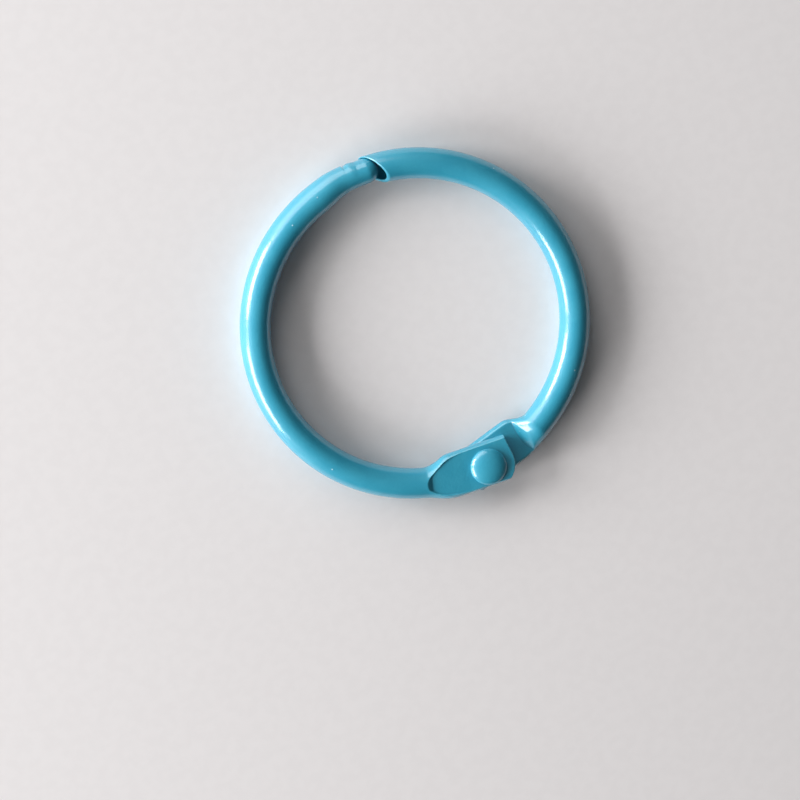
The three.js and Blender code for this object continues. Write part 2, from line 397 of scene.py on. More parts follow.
@dataclass(frozen=True)
class Noise:
    """Procedural noise.

    Attributes:
        scale: How many lumps there are to the unit of length.
        detail: How many finer layers lie on them.
        roughness: The strength of each layer as a share of the one before.
    """

    scale: float
    detail: float
    roughness: float

    def add(self, board: NodeBoard, place: bpy.types.NodeSocket) -> bpy.types.NodeSocket:
        """Adds the noise to a board and gives its value at a place."""
        sizes = {"Scale": self.scale, "Detail": self.detail, "Roughness": self.roughness}
        return board.add("TexNoise", Vector=place, **sizes).outputs[0]


def new_material(name: str) -> tuple[bpy.types.Material, NodeBoard, bpy.types.Node]:
    """Makes a material.

    Args:
        name: Its name.

    Returns:
        The material, its node board and its shader.
    """
    material = bpy.data.materials.new(name)
    material.use_nodes = True
    return material, NodeBoard(material.node_tree), material.node_tree.nodes["Principled BSDF"]


@dataclass(frozen=True)
class Enamel:
    """Glossy sprayed enamel over steel.

    Its colour drifts a little from place to place. Convex edges get a lighter painted highlight and hollows a
    darker painted shade. The gloss has a fine orange peel and a few dusty specks under it, whose pale colour
    is partly a painted glint. Deep inside a tube, where the spray did not reach, the steel is bare.

    Attributes:
        colour: The enamel at its usual thickness.
        drift: What it drifts towards.
        hollow_shade_colour: A painted shade, the darker colour put into hollows and creases.
        light: A painted highlight, the lighter colour put on convex edges.
        steel: The bare steel.
        dust_and_glint: Dusty specks, whose pale colour is partly a painted glint.
        cloud: Slow noise, to the millimetre.
        grain: Fine noise.
        waves: The noise of the orange peel.
        grain_share: The grain's share in the drift of the colour. The cloud has the rest.
        drift_span: The colour drifts while that noise goes through these.
        edge_highlight_noise_span: The painted highlight on an edge grows while the grain goes through these.
        edge_highlight_strength: How far that painted highlight shows at the two ends of that span.
        hollow_shade_strength: How far the painted shade shows in a hollow.
        film_noise: How far the grain shifts the edge of the film.
        film_span: The steel is covered while the film goes through these.
        roughness: Of the enamel.
        rough_noise: The roughness drifts while the cloud goes through these.
        rough_drift: How far it drifts, down and up.
        bare_roughness: How much rougher the bare steel is.
        refraction: Index of refraction of the enamel and its clear top layer.
        gloss: Weight of the clear top layer.
        gloss_roughness: Roughness of that layer.
        peel: Height of the orange peel, in millimetres.
        grit: Height of the finer grain on it, in millimetres.
        speck: Height of the specks, in millimetres.
        speck_scale: Cells to the millimetre, each of which may hold a speck.
        speck_span: A speck fades over these distances from its middle, in cells.
        speck_chance: The share of cells that hold none.
        speck_glint_cover: How far a speck's pale colour, partly a painted glint, hides the enamel.
    """

    colour: Colour = (0.018, 0.315, 0.470, 1.0)
    drift: Colour = (0.024, 0.345, 0.500, 1.0)
    # painted shade: the darker colour put into hollows and creases
    hollow_shade_colour: Colour = (0.006, 0.180, 0.300, 1.0)
    # painted highlight: the lighter colour put on convex edges
    light: Colour = (0.130, 0.540, 0.680, 1.0)
    steel: Colour = (0.300, 0.290, 0.270, 1.0)
    # dusty specks, their pale colour partly a painted glint
    dust_and_glint: Colour = (0.480, 0.760, 0.840, 1.0)
    cloud: Noise = Noise(0.45, 4.0, 0.55)
    grain: Noise = Noise(5.0, 3.0, 0.6)
    waves: Noise = Noise(1.6, 2.0, 0.45)
    grain_share: float = 0.35
    drift_span: Span = (0.36, 0.64)
    edge_highlight_noise_span: Span = (0.38, 0.62)
    # how strongly the painted edge highlight shows
    edge_highlight_strength: Span = (0.25, 0.7)
    # how strongly the painted shade shows in hollows
    hollow_shade_strength: float = 0.7
    film_noise: float = 0.25
    film_span: Span = (0.40, 0.60)
    roughness: float = 0.46
    rough_noise: Span = (0.35, 0.65)
    rough_drift: Span = (0.03, 0.04)
    bare_roughness: float = 0.25
    refraction: float = 1.65
    gloss: float = 1.0
    gloss_roughness: float = 0.11
    peel: float = 0.004
    grit: float = 0.012
    speck: float = 0.03
    speck_scale: float = 0.75
    speck_span: Span = (0.02, 0.075)
    speck_chance: float = 0.62
    # how far a speck's pale colour, partly a painted glint, covers the enamel
    speck_glint_cover: float = 0.75

    def material(self, name: str) -> bpy.types.Material:
        """Builds the material.

        Args:
            name: The material's name.

        Returns:
            The new material.
        """
        material, board, shader = new_material(name)
        place = board.add("TexCoord").outputs["Object"]
        mm = board.add("Mapping", Vector=place, Scale=(1.0 / METRES,) * 3).outputs[0]
        cloud, grain = self.cloud.add(board, mm), self.grain.add(board, mm)
        specks = self.specks(board, mm)
        paint = self.paint(board, cloud, grain, specks)

        shift = board.math("MULTIPLY_ADD", grain, 2.0 * self.film_noise, -self.film_noise)
        film = board.math("ADD", board.part("film").outputs["Fac"], shift)
        covered = board.span(film, *self.film_span, 0.0, 1.0)
        bare = board.math("SUBTRACT", 1.0, covered)
        smoother, rougher = self.rough_drift
        rough = board.span(cloud, *self.rough_noise, self.roughness - smoother, self.roughness + rougher)

        peel = board.math("MULTIPLY", grain, self.grit)
        peel = board.math("MULTIPLY_ADD", self.waves.add(board, mm), self.peel, peel)
        height = board.math("MULTIPLY_ADD", specks, self.speck, peel)
        bumped = board.add("Bump", Height=height, Strength=1.0, Distance=METRES).outputs["Normal"]
        board.feed(
            shader,
            Base_Color=board.blend(covered, self.steel, paint),
            Metallic=bare,
            Roughness=board.math("MULTIPLY_ADD", bare, self.bare_roughness, rough),
            IOR=self.refraction,
            Normal=bumped,
            Coat_Weight=self.gloss,
            Coat_Roughness=self.gloss_roughness,
            Coat_IOR=self.refraction,
            Coat_Normal=bumped,
        )
        return material

    def specks(self, board: NodeBoard, mm: bpy.types.NodeSocket) -> bpy.types.NodeSocket:
        """Scatters the specks: a dot in the middle of some of the cells of a Voronoi pattern.

        Args:
            board: The board to add to.
            mm: The place in millimetres.

        Returns:
            How much of a speck there is, from 0 to 1.
        """
        cells = board.add("TexVoronoi", {"feature": "F1"}, Vector=mm, Scale=self.speck_scale)
        chance = board.add("SeparateColor", Color=cells.outputs["Color"]).outputs[0]
        dot = board.span(cells.outputs["Distance"], *self.speck_span, 1.0, 0.0)
        return board.math("MULTIPLY", dot, board.math("GREATER_THAN", chance, self.speck_chance))

    def paint(
        self,
        board: NodeBoard,
        cloud: bpy.types.NodeSocket,
        grain: bpy.types.NodeSocket,
        specks: bpy.types.NodeSocket,
    ) -> bpy.types.NodeSocket:
        """Mixes the enamel's colour: its drift, then the painted highlight on edges, the painted shade in
        hollows and the specks.

        Args:
            board: The board to add to.
            cloud: The slow noise.
            grain: The fine noise.
            specks: How much of a speck there is.

        Returns:
            The colour.
        """
        slow = board.math("MULTIPLY", cloud, 1.0 - self.grain_share)
        mottle = board.math("MULTIPLY_ADD", grain, self.grain_share, slow)
        paint = board.blend(board.span(mottle, *self.drift_span, 0.0, 1.0), self.colour, self.drift)
        # painted highlight on convex edges, broken up by the grain
        edge_highlight_strength = board.span(grain, *self.edge_highlight_noise_span, *self.edge_highlight_strength)
        edge_highlight_share = board.math("MULTIPLY", board.part("edge_highlight").outputs["Fac"], edge_highlight_strength)
        paint = board.blend(edge_highlight_share, paint, self.light)
        # painted shade in hollows and creases
        hollow_shade = board.math("MULTIPLY", board.part("hollow_shade").outputs["Fac"], self.hollow_shade_strength)
        paint = board.blend(hollow_shade, paint, self.hollow_shade_colour)
        # dusty specks, their pale colour partly a painted glint
        return board.blend(board.math("MULTIPLY", specks, self.speck_glint_cover), paint, self.dust_and_glint)


@dataclass(frozen=True)
class Paper:
    """A plain pale sheet to lie on.

    Attributes:
        colour: The sheet.
        shade: What its faint fibres drift towards.
        fibres: The noise of its fibres, to the metre.
        fibre_span: The colour drifts while that noise goes through these.
        roughness: Of the sheet.
    """

    colour: Colour = (0.80, 0.775, 0.783, 1.0)
    shade: Colour = (0.785, 0.76, 0.768, 1.0)
    fibres: Noise = Noise(900.0, 4.0, 0.5)
    fibre_span: Span = (0.35, 0.65)
    roughness: float = 0.6

    def material(self, name: str) -> bpy.types.Material:
        """Builds the material under that name."""
        material, board, shader = new_material(name)
        fibres = self.fibres.add(board, board.add("TexCoord").outputs["Object"])
        tone = board.blend(board.span(fibres, *self.fibre_span, 0.0, 1.0), self.colour, self.shade)
        board.feed(shader, Base_Color=tone, Roughness=self.roughness)
        return material


# ---- Sizes that the pieces share -------------------------------------------------------------------


@dataclass(frozen=True)
class Tube:
    """The rolled tube and the ring that it makes.

    Attributes:
        clear_diameter: Inside the closed ring.
        diameter: Of the tube.
        sheet: Thickness of the strip that it is rolled from.
        seam_angle: Where the strip's edges meet, in degrees round the tube from its outer side, in the
            frame of the closed ring.
        seam_depth: Depth of the groove along them.
        seam_half_width: Half the width of that groove.
        seam_start: It runs in from this distance from the hinge pivot.
        seam_fade: Length over which it runs in and out.
    """

    clear_diameter: float = 25.4
    diameter: float = 2.7
    sheet: float = 0.475
    seam_angle: float = 216.0
    seam_depth: float = 0.035
    seam_half_width: float = 0.13
    seam_start: float = 6.2
    seam_fade: float = 0.8

    @property
    def radius(self) -> float:
        """The tube's outer radius."""
        return self.diameter / 2.0

    @property
    def bore_radius(self) -> float:
        """The tube's inner radius."""
        return self.radius - self.sheet

    @property
    def ring_radius(self) -> float:
        """The radius of the tube's axis."""
        return self.clear_diameter / 2.0 + self.radius


@dataclass(frozen=True)
class Leaf:
    """The pinched end of a half. Distances are from the hinge pivot.

    Attributes:
        lean: Degrees between the leaf and the ring's tangent at the hinge.
        bend_lead: The bend starts this many leans round the ring.
        width: Of the leaf.
        offset: The leaf's middle lies this far inside the pivot.
        far_bulge: Half-height of the oval that the folded edges follow on the far side.
        mating_bulge: The same on the mating side, where they are pressed flatter.
        reach: From the pivot to the cut end, along the ring's tangent.
        corner: Rounding of the outer corner.
        ramp_foot: The foot of the ramp on the mating side, in the middle of the leaf.
        ramp_bow: How the foot draws back towards the leaf's sides, in millimetres for a millimetre squared.
        ramp_angle: Slope of the ramp in degrees.
        step_foot: The foot of the small step on the far side.
        step_length: Length of that step.
        step_rise: How far the far face climbs before the step.
        rise_start: Where that climb begins.
        pan_width: Half-width at the pivot of the flat that is pressed into the far side.
        pan_end: Where that flat's two sides would meet.
        pan_blunt: How bluntly they do: a power, and the smaller it is the blunter.
        pan_wall: Slope in degrees of the wall round it.
        spread_start: Where the tube begins to widen.
        spread_end: Where the leaf has its full width.
        gap: Between the two leaves.
        softness: Height over which the enamel rounds the pressed edges.
        foot_round: Length over which the foot of the ramp is rounded.
        end_round: Rounding of the cut end's edges.
        fold_mark: Depth of the line between the two folded layers at the cut end.
        fold_spread: Half its width, as a share of the leaf's half-thickness.
    """

    lean: float = 9.0
    bend_lead: float = 2.6
    width: float = 4.0
    offset: float = 0.2
    far_bulge: float = 1.12
    mating_bulge: float = 0.98
    reach: float = 2.4
    corner: float = 2.2
    ramp_foot: float = 3.76
    ramp_bow: float = 0.12
    ramp_angle: float = 48.0
    step_foot: float = 5.2
    step_length: float = 0.42
    step_rise: float = 0.1
    rise_start: float = 2.0
    pan_width: float = 1.80
    pan_end: float = 5.66
    pan_blunt: float = 0.7
    pan_wall: float = 55.0
    spread_start: float = 5.8
    spread_end: float = 3.1
    gap: float = 0.05
    softness: float = 0.06
    foot_round: float = 0.10
    end_round: float = 0.08
    fold_mark: float = 0.05
    fold_spread: float = 0.14

    @property
    def near(self) -> float:
        """Height of the mating face above the ring's middle plane."""
        return self.gap / 2.0


@dataclass(frozen=True)
class Rivet:
    """The rivet, as the leaves and the rivet itself need it.

    Attributes:
        shank_diameter: Of the shank.
        shank_clearance: Round the shank.
        head_diameter: Of the domed head.
        head_height: From under the head to the top of its dome.
        head_clearance: Under the head and over the tail.
        seat_clearance: Round the head, where the pan is pressed for it.
        tail_diameter: Of the formed tail.
        head_side: Height of the head's straight side, under its dome.
        tail_round: Rounding of the tail's edge.
        edge_round: Rounding of the edges that face the leaves.
    """

    shank_diameter: float = 1.7
    shank_clearance: float = 0.05
    head_diameter: float = 3.24
    head_height: float = 0.7
    head_clearance: float = 0.03
    seat_clearance: float = 0.04
    tail_diameter: float = 2.9
    head_side: float = 0.05
    tail_round: float = 0.1
    edge_round: float = 0.04


class Lay(Enum):
    """How a half lies in the ring. Each is built on -X with its leaf up."""

    AS_BUILT = (1.0, 1.0)
    TURNED_OVER = (-1.0, -1.0)  # half a turn about Y

    def place(self, points: Array, middle: float) -> Array:
        """Points of a half in the ring's frame: x and z by this lay's signs, and up by the middle height."""
        across, up = self.value
        return points * np.array([across, 1.0, up]) + np.array([0.0, 0.0, middle])


@dataclass(frozen=True)
class AxisPath:
    """The axis of a half, as a table of points a hundredth of a millimetre apart.

    It is an arc of the ring, a short bend and a straight line through the pivot.

    Attributes:
        distance: The distance of each point before the pivot, rising.
        x: Its x.
        y: Its y.
        heading: The direction of travel towards the leaf's end there, in radians.
        arc_end: The azimuth at which the arc ends, in radians.
        arc_end_distance: The distance of that point.
        ring_radius: The radius of the arc.
    """

    distance: Array
    x: Array
    y: Array
    heading: Array
    arc_end: float
    arc_end_distance: float
    ring_radius: float

    @classmethod
    def of_half(cls, tube: Tube, leaf: Leaf) -> "AxisPath":
        """Works the path out.

        The bend is the parabola (1 - t)^2 a + 2 t (1 - t) c + t^2 b from the arc's end a to the leaf's
        line, with its corner c where the arc's tangent meets that line, as far from a as from b.

        Args:
            tube: The tube and ring.
            leaf: The pinched end.

        Returns:
            The path.
        """
        radius = tube.ring_radius
        arc_end = np.radians(HINGE_AZIMUTH - leaf.bend_lead * leaf.lean)
        lean = np.radians(leaf.lean)
        ahead = np.array([np.cos(lean), -np.sin(lean)])
        pivot = np.array([0.0, -radius])
        azimuth = np.linspace(np.radians(ARC_START), arc_end, ARC_POINTS)
        arc = radius * np.stack([np.cos(azimuth), np.sin(azimuth)], axis=1)
        start = arc[-1]
        tangent = np.array([-np.sin(arc_end), np.cos(arc_end)])
        apart = pivot - start
        turn = tangent[0] * ahead[1] - tangent[1] * ahead[0]
        reach = (apart[0] * ahead[1] - apart[1] * ahead[0]) / turn
        corner = start + tangent * reach
        end = corner + ahead * reach
        t = column(np.linspace(0.0, 1.0, BEND_POINTS))
        bend = (1 - t) ** 2 * start + 2 * t * (1 - t) * corner + t**2 * end
        past = 2.0 * leaf.width
        run = column(np.linspace(0.0, np.linalg.norm(pivot - end) + past, LINE_POINTS))
        points = np.concatenate([arc, bend[1:], (end + run * ahead)[1:]])
        steps = np.linalg.norm(np.diff(points, axis=0), axis=1)
        travelled = np.concatenate([[0.0], np.cumsum(steps)])
        distance = travelled[-1] - past - travelled
        slope = (1 - t) * (corner - start) + t * (end - corner)
        on_bend = np.arctan2(slope[1:, 1], slope[1:, 0])
        on_line = np.full(len(run) - 1, -lean)
        headings = np.unwrap(np.concatenate([azimuth + np.pi / 2.0, on_bend, on_line]))
        return cls(
            distance[::-1],
            points[::-1, 0],
            points[::-1, 1],
            headings[::-1],
            float(arc_end),
            float(distance[len(arc) - 1]),
            radius,
        )

    def at_azimuth(self, degrees: float) -> float:
        """The distance at which the arc passes an azimuth."""
        return self.arc_end_distance + (self.arc_end - np.radians(degrees)) * self.ring_radius

    def place(self, distance: Array, out: Array, height: Array) -> Array:
        """Points beside the path.

        Each is the axis point at its distance, moved out along the normal (sin h, -cos h) of the heading
        h there, and up by its height.

        Args:
            distance: Before the pivot.
            out: Outwards from the ring's centre.
            height: Above the ring's middle plane.

        Returns:
            The points, with a last axis of three.
        """
        distance, out, height = np.broadcast_arrays(distance, out, height)
        heading = np.interp(distance, self.distance, self.heading)
        x = np.interp(distance, self.distance, self.x) + out * np.sin(heading)
        y = np.interp(distance, self.distance, self.y) - out * np.cos(heading)
        return np.stack([x, y, height], axis=-1)


@dataclass
class Rows:
    """Rows of a half's skin, collected from its leaf's cut end to the end of its bore.

    Attributes:
        distance: Of each point before the pivot, rows by columns, as a list of blocks.
        out: Outwards from the tube's axis.
        height: Above the ring's middle plane.
        film: The share of enamel.
    """

    distance: list[Array] = field(default_factory=list)
    out: list[Array] = field(default_factory=list)
    height: list[Array] = field(default_factory=list)
    film: list[Array] = field(default_factory=list)

    def add(self, distance: Array, out: Array, height: Array, film: Array | float = 1.0) -> None:
        """Adds a block of rows, each argument rows by columns or able to spread to that."""
        blocks = np.broadcast_arrays(distance, out, height, film)
        for mine, block in zip((self.distance, self.out, self.height, self.film), blocks):
            mine.append(np.array(block, float))

    def count(self) -> int:
        """How many rows there are so far."""
        return sum(len(block) for block in self.distance)


@dataclass(frozen=True)
class RowPlan:
    """How closely the rows of a half follow each other. Distances are from the hinge pivot.

    Attributes:
        end_rows: Rows on the leaf's cut face.
        corner_rows: Rows round a rounded edge.
        tip_rows: Rows from the cut end to where they stand square to the axis.
        square_at: They stand square to the axis from here on.
        hole_end: The end of the fine rows round the rivet's hole.
        hole_step: The spacing of those rows.
        leaf_end: The end of the rows along the rest of the leaf.
        leaf_step: Their spacing.
        pinch_end: The end of the fine rows over the ramp and the steps.
        pinch_step: Their spacing.
        tube_step: Spacing along the plain tube.
        bore_step: Spacing along the bore.
    """

    end_rows: int = 12
    corner_rows: int = 6
    tip_rows: int = 26
    square_at: float = -1.0
    hole_end: float = 1.1
    hole_step: float = 0.05
    leaf_end: float = 3.3
    leaf_step: float = 0.09
    pinch_end: float = 6.3
    pinch_step: float = 0.045
    tube_step: float = 0.36
    bore_step: float = 0.9


# ---- The pieces ------------------------------------------------------------------------------------


@dataclass
class Piece:
    """A piece of the ring, which stands for a CAD node.

    Attributes:
        name: The piece's name.
        node: The CAD node that it stands for.
        body: The CAD body that it rides on.
        slot: Its material slot in the record.
        enamel: Its finish.
        tube: The tube's sizes.
        leaf: The leaf's sizes.
        rivet: The rivet's sizes.
    """

    name: str
    node: str
    # slot: Its material slot in the record; not used.
    body: str
    slot: str
    enamel: Enamel
    tube: Tube = field(default_factory=Tube)
    leaf: Leaf = field(default_factory=Leaf)
    rivet: Rivet = field(default_factory=Rivet)

    def build(self) -> bpy.types.Object:
        """Builds the piece."""
        raise NotImplementedError

    def dress(self, piece: bpy.types.Object) -> None:
        """Gives the piece its enamel and its place among the CAD bodies."""
        piece.data.materials.append(self.enamel.material(self.name + "_enamel"))
        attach(piece, self.body)
        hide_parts(self.node)


@dataclass
class RingHalf(Piece):
    """What both halves are: a tube round half of the ring, pinched to a leaf at the hinge.

    Attributes:
        lay: How it lies in the ring.
        mouth_azimuth: Where the two halves meet, in degrees.
        mouth_wall: The wall round the socket that the tongue goes into.
        sides: Points round each row.
        plan: The spacing of its rows.
    """

    lay: Lay = Lay.AS_BUILT
    mouth_azimuth: float = 77.5
    mouth_wall: float = 0.14
    sides: int = 160
    plan: RowPlan = field(default_factory=RowPlan)

    def __post_init__(self) -> None:
        """Works out the path and the heights that the outline needs."""
        leaf, tube = self.leaf, self.tube
        self.path = AxisPath.of_half(tube, leaf)
        self.far = leaf.near + 2.0 * tube.sheet
        self.mid = (leaf.near + self.far) / 2.0
        self.angle = 2.0 * np.pi * np.arange(self.sides) / self.sides
        self.step_top = leaf.step_foot + leaf.step_length
        self.bore_end = self.step_top + tube.sheet

    @property
    def seam_stop(self) -> float:
        """Where the seam's groove has run out, before the free end."""
        raise NotImplementedError

    def pinched(self, distance: Array) -> tuple[Array, Array]:
        """The outside of the half.

        An oval, half-width times the cosine and half-height times the sine of the angle, widens from the
        round tube to the leaf. It is pressed down to a far face, which climbs a little and ends in a small
        step. That face is a pan: at a distance d its half-width is the full one times 1 - (d / end)^3 to
        the power that blunts it. It is joined to a round seat for the rivet, and outside it the press rises
        by the wall's slope. Below, the oval is pressed up to a mating face, which falls by a ramp to below
        the tube. The ramp's foot lies back by the bow times the square of the distance from the leaf's
        middle line.

        Args:
            distance: Before the pivot, as rows by columns or as a column.

        Returns:
            The distance outwards and the height, rows by columns.
        """
        leaf, radius = self.leaf, self.tube.radius
        distance = distance + np.zeros((1, self.sides))
        spread = 1.0 - smooth_share(distance, leaf.spread_end, leaf.spread_start)
        sink = 1.0 - smooth_share(distance, leaf.ramp_foot, self.step_top)
        half_width = lerp(radius, leaf.width / 2.0, spread)
        bulge = np.where(np.sin(self.angle) > 0.0, leaf.far_bulge, leaf.mating_bulge)
        half_height = lerp(radius, bulge, sink)
        across = half_width * np.cos(self.angle)
        out = across - leaf.offset * spread
        height = lerp(0.0, self.mid, sink) + half_height * np.sin(self.angle)

        above = radius + 2.0 * leaf.softness
        sloped = self.far + leaf.step_rise * share(distance, leaf.rise_start, leaf.step_foot)
        step_slope = (radius - self.far - leaf.step_rise) / leaf.step_length
        pan = leaf.pan_width * (1.0 - share(distance, 0.0, leaf.pan_end) ** 3) ** leaf.pan_blunt
        seat = self.rivet.head_diameter / 2.0 + self.rivet.seat_clearance
        beyond = np.minimum(np.abs(across) - pan, np.hypot(distance, out) - seat)
        wall = soft_most(beyond, 0.0, leaf.softness) * np.tan(np.radians(leaf.pan_wall))
        step = soft_most(distance - leaf.step_foot, 0.0, leaf.softness) * step_slope
        far = np.minimum(sloped + soft_most(wall, step, leaf.softness), above)
        ramp_slope = np.tan(np.radians(leaf.ramp_angle))
        climb = distance - (leaf.ramp_foot + leaf.ramp_bow * across**2)
        mating = leaf.near - soft_most(climb, 0.0, leaf.foot_round) * ramp_slope
        mating = np.maximum(mating, -above)
        height = soft_least(height, far, leaf.softness)
        height = soft_most(height, mating, leaf.softness)
        groove = self.seam_groove(distance)
        return out - groove * np.cos(self.angle), height - groove * np.sin(self.angle)

    def seam_groove(self, distance: Array) -> Array:
        """The depth of the groove along the seam.

        It is 1 - 3 t^2 + 2 t^3 of the full depth, where t is the way round the tube from the seam to the
        groove's edge, and it runs in past the leaf and out before the free end.

        Args:
            distance: Before the pivot, as rows by columns or as a column.

        Returns:
            The depth, rows by columns.
        """
        tube = self.tube
        seam = np.radians(tube.seam_angle) * self.lay.value[1]
        apart = np.abs((self.angle - seam + np.pi) % (2.0 * np.pi) - np.pi) * tube.radius
        fade = tube.seam_fade
        runs_in = smooth_share(distance, tube.seam_start, tube.seam_start + fade)
        runs_out = smooth_share(distance, self.seam_stop - fade, self.seam_stop)
        depth = tube.seam_depth * (1.0 - smooth_share(apart, 0.0, tube.seam_half_width))
        return depth * runs_in * (1.0 - runs_out)

    def section(self, distance: Array) -> tuple[Array, Array]:
        """The outside of this half: outwards and height, rows by columns."""
        return self.pinched(distance)

    def cut_end(self, out: Array) -> Array:
        """Where the leaf ends, for each distance outwards.

        A line along the leaf at that distance ends on the straight cut, square to the ring's tangent, or,
        towards the outer side, on the far crossing of the corner's circle: s = sqrt(b^2 - c) - b, with b
        the dot product of the leaf's direction and the vector to the line's start from the circle's
        centre, and c that vector's square less the circle's radius squared.

        Args:
            out: Outwards from the axis.

        Returns:
            The distance, which is below zero as the end is past the pivot.
        """
        leaf = self.leaf
        lean = np.radians(leaf.lean)
        ahead = np.array([np.cos(lean), -np.sin(lean)])
        start = np.stack([-out * np.sin(lean), -out * np.cos(lean)], axis=-1)
        straight = (leaf.reach - start[..., 0]) / ahead[0]
        outer = leaf.width / 2.0 - leaf.offset
        side = -outer / np.cos(lean) - leaf.reach * np.tan(lean)
        centre = np.array([leaf.reach - leaf.corner, side + leaf.corner])
        arm = start - centre
        b = arm @ ahead
        c = (arm**2).sum(axis=-1) - leaf.corner**2
        rounded = np.sqrt(np.maximum(b * b - c, 0.0)) - b
        met = start + rounded[..., None] * ahead - centre
        return -np.where((met[..., 0] > 0.0) & (met[..., 1] < 0.0), rounded, straight)

    def add_leaf(self, rows: Rows) -> None:
        """Adds the leaf's cut end and the leaf as far as where its rows stand square to the axis.

        The end face shrinks the leaf's outline in height to its middle line, which lies in a faint groove
        between the folded layers, and its edges are rounded by a quarter circle.

        Args:
            rows: The rows to add to.
        """
        leaf, plan = self.leaf, self.plan
        end = self.cut_end(self.section(column([0.0]))[0])
        out, height = self.section(end + leaf.end_round)
        half = (self.far - leaf.near) / 2.0
        left = 1.0 - leaf.end_round / half
        flat = column(np.linspace(0.0, left, plan.end_rows)[:-1])
        groove = leaf.fold_mark * np.exp(-((flat / leaf.fold_spread) ** 2))
        rows.add(end + groove, out, self.mid + (height - self.mid) * flat)
        turn = column(np.linspace(np.pi / 2.0, 0.0, plan.corner_rows))
        kept = 1.0 - (leaf.end_round / half) * (1.0 - np.cos(turn))
        inset = leaf.end_round * (1.0 - np.sin(turn))
        rows.add(end + inset, out, self.mid + (height - self.mid) * kept)
        t = column(np.linspace(0.0, 1.0, plan.tip_rows)[1:])
        distance = lerp(end + leaf.end_round, plan.square_at, t)
        rows.add(distance, *self.section(distance))

    def add_stretch(self, rows: Rows, start: float, stop: float, step: float) -> None:
        """Adds evenly spaced rows of the outside after start, up to and with stop."""
        count = max(1, round(abs(stop - start) / step))
        distance = column(np.linspace(start, stop, count + 1)[1:])
        rows.add(distance, *self.section(distance))

    def add_bore(self, rows: Rows, start: float) -> None:
        """Adds the bare bore, from the free end's side to where the tube is pinched."""
        count = round((start - self.bore_end) / self.plan.bore_step)
        distance = column(np.linspace(start, self.bore_end, count + 1))
        radius = self.tube.bore_radius
        rows.add(distance, radius * np.cos(self.angle), radius * np.sin(self.angle), 0.0)

    def add_free_end(self, rows: Rows) -> None:
        """Adds the rows from the plain tube over the free end and into the bore."""
        raise NotImplementedError

    def build(self) -> bpy.types.Object:
        """Builds the half as one closed skin, with the rivet's hole through its leaf.

        Returns:
            The new object.
        """
        rows, plan = Rows(), self.plan
        self.add_leaf(rows)
        self.add_stretch(rows, plan.square_at, plan.hole_end, plan.hole_step)
        hole_rows = rows.count()
        self.add_stretch(rows, plan.hole_end, plan.leaf_end, plan.leaf_step)
        self.add_stretch(rows, plan.leaf_end, plan.pinch_end, plan.pinch_step)
        self.add_free_end(rows)
        distance, out, height, film = (
            np.concatenate(block) for block in (rows.distance, rows.out, rows.height, rows.film)
        )
        points = self.lay.place(self.path.place(distance, out, height), self.tube.radius)
        hole_radius = self.rivet.shank_diameter / 2.0 + self.rivet.shank_clearance
        hole = RoundHole(0.0, -self.tube.ring_radius, hole_radius, hole_rows)
        return skin_mesh(self.name, Skin(points, film, FirstRow.FOLD), hole)


@dataclass(frozen=True)
class TonguePlan(RowPlan):
    """The spacing of the tongue half's rows.

    Attributes:
        taper_step: Spacing along the taper.
        notch_margin: The fine rows at the notch reach this far beyond its steep side, each way.
        notch_step: Their spacing.
        neck_step: Spacing along the neck.
        nose_rows: Rows round the nose.
        vent_rows: Rows along the vent.
        vent_lead: From the vent's rounded edge to the first of them.
        bore_lead: From the last of them to the bore.
    """

    taper_step: float = 0.16
    notch_margin: float = 0.06
    notch_step: float = 0.02
    neck_step: float = 0.12
    nose_rows: int = 22
    vent_rows: int = 5
    vent_lead: float = 0.1
    bore_lead: float = 0.02


